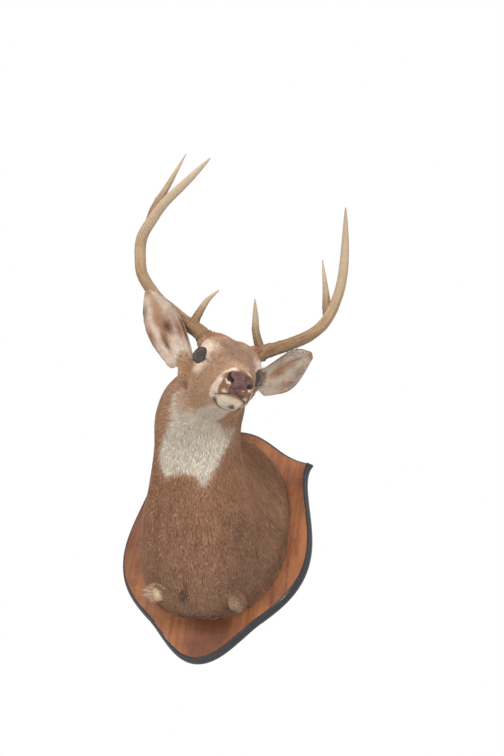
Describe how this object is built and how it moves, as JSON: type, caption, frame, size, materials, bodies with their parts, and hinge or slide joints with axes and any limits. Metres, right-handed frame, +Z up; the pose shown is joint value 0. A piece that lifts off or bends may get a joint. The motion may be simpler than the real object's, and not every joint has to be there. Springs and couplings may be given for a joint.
{
  "type": "deer shoulder mount",
  "caption": "Life-size white-tailed buck's head, neck and shoulders with a branched rack, fur coat and glass eyes, on a stained shield board with a black routed edge, to hang on a wall.",
  "frame": {"origin": "the middle of the board's back face, on the wall", "axes": "+Z up, +Y into the wall, -Y out into the room, +X to the deer's left (the viewer's right); the head is turned about 32 degrees towards the deer's left"},
  "size_m": [0.4626, 0.5017, 0.9851],
  "materials": {
    "winter_coat": "short dense brown fur on tanned hide, white at the throat, chin and inside the ears",
    "antler": "tan antler, satin, paler and smoother at the tips; wood stands in for antler",
    "stained_wood": "reddish brown stain under satin varnish",
    "black_rim_paint": "gloss black paint on routed wood; painted metal stands in for painted wood",
    "dark_glass": "polished dark brown glass eye, opaque",
    "plated_steel": "zinc-plated steel"
  },
  "bodies": {
    "root": {"board_panel": "stained_wood", "board_rim": "black_rim_paint", "hanger_plate": "plated_steel", "hanger_screw_1": "plated_steel", "hanger_screw_2": "plated_steel", "shoulders": "winter_coat", "neck": "winter_coat", "head": "winter_coat", "ear_right": "winter_coat", "ear_left": "winter_coat", "eye_right": "dark_glass", "eye_left": "dark_glass", "antler_right_beam_lower": "antler", "antler_right_beam_upper": "antler", "antler_right_brow_tine": "antler", "antler_right_second_tine": "antler", "antler_right_third_tine": "antler", "antler_left_beam_lower": "antler", "antler_left_beam_upper": "antler", "antler_left_brow_tine": "antler", "antler_left_second_tine": "antler"}
  },
  "joints": []
}
